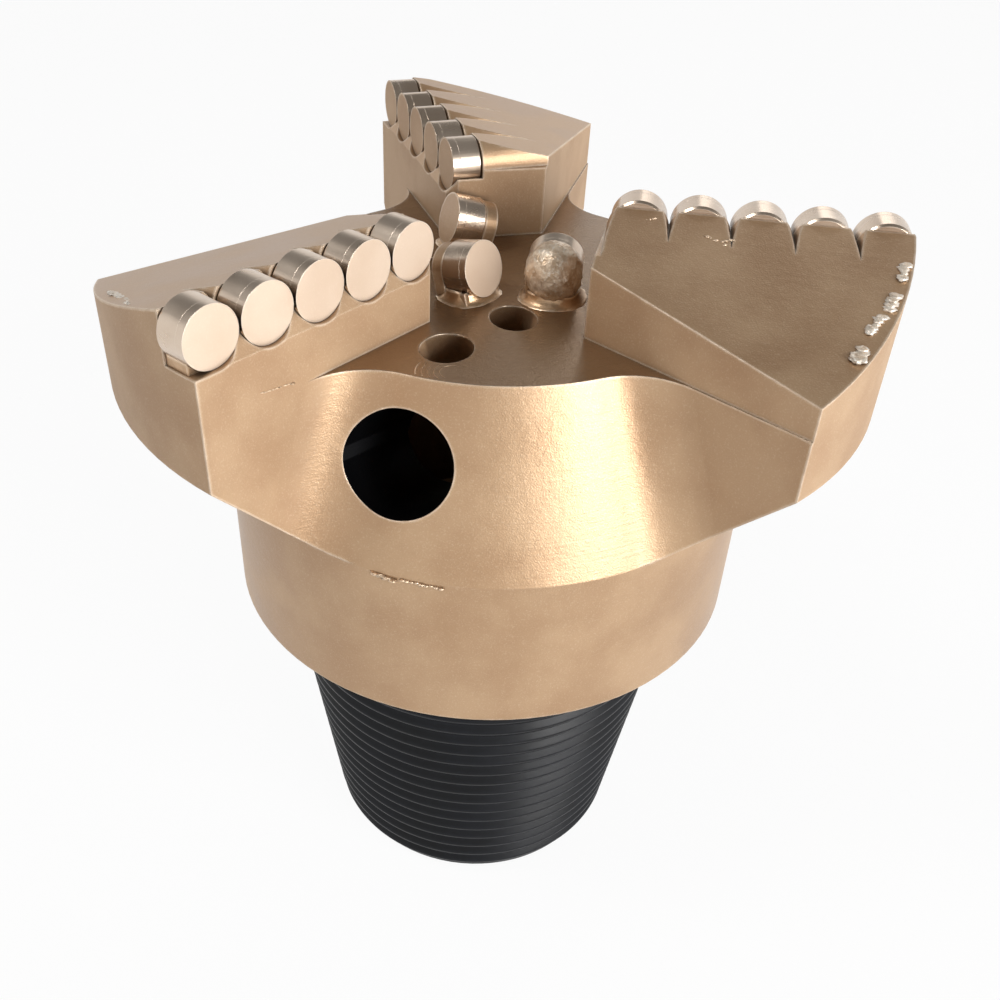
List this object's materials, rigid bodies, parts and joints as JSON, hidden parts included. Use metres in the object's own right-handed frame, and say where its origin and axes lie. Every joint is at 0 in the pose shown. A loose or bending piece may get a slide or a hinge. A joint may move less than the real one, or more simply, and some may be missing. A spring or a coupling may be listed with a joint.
{
  "type": "pdc drill bit",
  "caption": "Steel-body drag bit with three tall blades of round flat-faced cutters, water ports between the blades and a tapered threaded pin below the shank.",
  "frame": {"origin": "on the bit axis in the end face of the pin", "axes": "+Z along the bit axis from pin to crown; blade 1 points to azimuth 231.5 degrees, so that the flute between blades 1 and 2 faces -Y"},
  "size_m": [0.1904, 0.1737, 0.2103],
  "materials": {
    "body_paint": "bronze metallic paint over machined steel, pin black",
    "carbide": "bronze paint thin over ground carbide",
    "diamond": "pale bronze paint on a lapped flat face"
  },
  "bodies": {
    "root": {"bit_body": "body_paint", "blade_1_cutter_1_carbide": "carbide", "blade_1_cutter_1_diamond": "diamond", "blade_1_cutter_2_carbide": "carbide", "blade_1_cutter_2_diamond": "diamond", "blade_1_cutter_3_carbide": "carbide", "blade_1_cutter_3_diamond": "diamond", "blade_1_cutter_4_carbide": "carbide", "blade_1_cutter_4_diamond": "diamond", "blade_1_cutter_5_carbide": "carbide", "blade_1_cutter_5_diamond": "diamond", "blade_2_cutter_1_carbide": "carbide", "blade_2_cutter_1_diamond": "diamond", "blade_2_cutter_2_carbide": "carbide", "blade_2_cutter_2_diamond": "diamond", "blade_2_cutter_3_carbide": "carbide", "blade_2_cutter_3_diamond": "diamond", "blade_2_cutter_4_carbide": "carbide", "blade_2_cutter_4_diamond": "diamond", "blade_2_cutter_5_carbide": "carbide", "blade_2_cutter_5_diamond": "diamond", "blade_3_cutter_1_carbide": "carbide", "blade_3_cutter_1_diamond": "diamond", "blade_3_cutter_2_carbide": "carbide", "blade_3_cutter_2_diamond": "diamond", "blade_3_cutter_3_carbide": "carbide", "blade_3_cutter_3_diamond": "diamond", "blade_3_cutter_4_carbide": "carbide", "blade_3_cutter_4_diamond": "diamond", "blade_3_cutter_5_carbide": "carbide", "blade_3_cutter_5_diamond": "diamond", "inner_cutter_1_carbide": "carbide", "inner_cutter_1_diamond": "diamond", "inner_cutter_2_carbide": "carbide", "inner_cutter_2_diamond": "diamond", "inner_cutter_3_carbide": "carbide", "inner_cutter_3_diamond": "diamond"}
  },
  "joints": []
}
